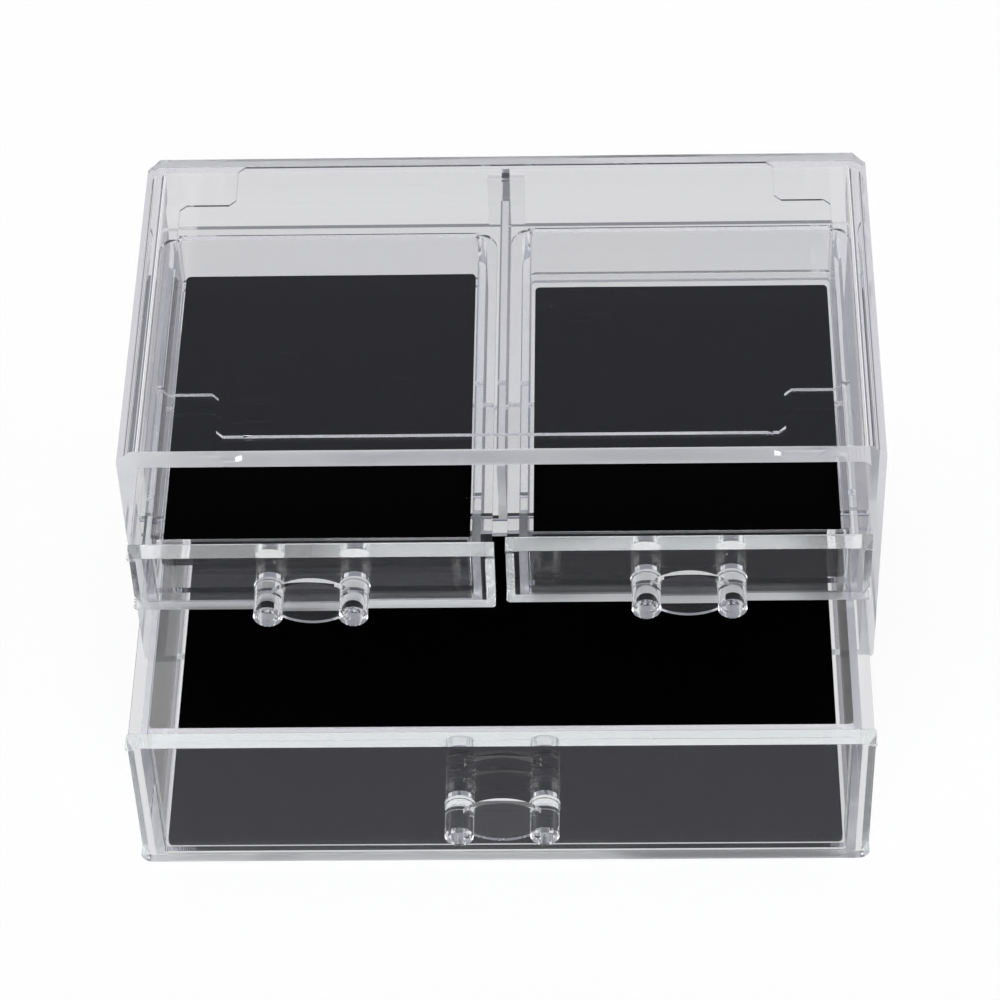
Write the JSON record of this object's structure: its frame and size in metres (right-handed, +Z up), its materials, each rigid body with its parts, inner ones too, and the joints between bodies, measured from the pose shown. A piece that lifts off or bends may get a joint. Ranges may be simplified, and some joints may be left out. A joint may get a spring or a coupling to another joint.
{
  "type": "make-up drawer organiser",
  "caption": "Clear moulded tabletop drawer unit for make-up: two small drawers side by side over one wide drawer, each with a bevelled front, a twin-post handle and a loose black pad.",
  "frame": {"origin": "middle of the case's footprint, on the surface it stands on", "axes": "+X to the viewer's right, -Y out of the front the way the drawers open, +Z up"},
  "size_m": [0.24, 0.2325, 0.1025],
  "materials": {
    "case_clear": "polished clear moulding",
    "shelf_clear": "polished clear moulding",
    "drawer_clear": "polished clear moulding",
    "front_clear": "polished clear moulding, thick and bevelled",
    "handle_clear": "polished clear moulding",
    "pad_black": "short black flock on a thin backing"
  },
  "bodies": {
    "case": {"case_shell": "case_clear", "mid_shelf": "shelf_clear", "centre_divider": "shelf_clear"},
    "left_drawer": {"left_drawer_tub": "drawer_clear", "left_drawer_front": "front_clear", "left_drawer_handle": "handle_clear", "left_drawer_pad": "pad_black"},
    "right_drawer": {"right_drawer_tub": "drawer_clear", "right_drawer_front": "front_clear", "right_drawer_handle": "handle_clear", "right_drawer_pad": "pad_black"},
    "lower_drawer": {"lower_drawer_tub": "drawer_clear", "lower_drawer_front": "front_clear", "lower_drawer_handle": "handle_clear", "lower_drawer_pad": "pad_black"}
  },
  "joints": [
    {"name": "left_drawer_slide", "type": "slide", "parent": "case", "child": "left_drawer", "axis": [0, -1, 0], "range_m": [-0.0285, 0.0665]},
    {"name": "right_drawer_slide", "type": "slide", "parent": "case", "child": "right_drawer", "axis": [0, -1, 0], "range_m": [-0.0265, 0.0685]},
    {"name": "lower_drawer_slide", "type": "slide", "parent": "case", "child": "lower_drawer", "axis": [0, -1, 0], "range_m": [-0.076, 0.019]}
  ]
}
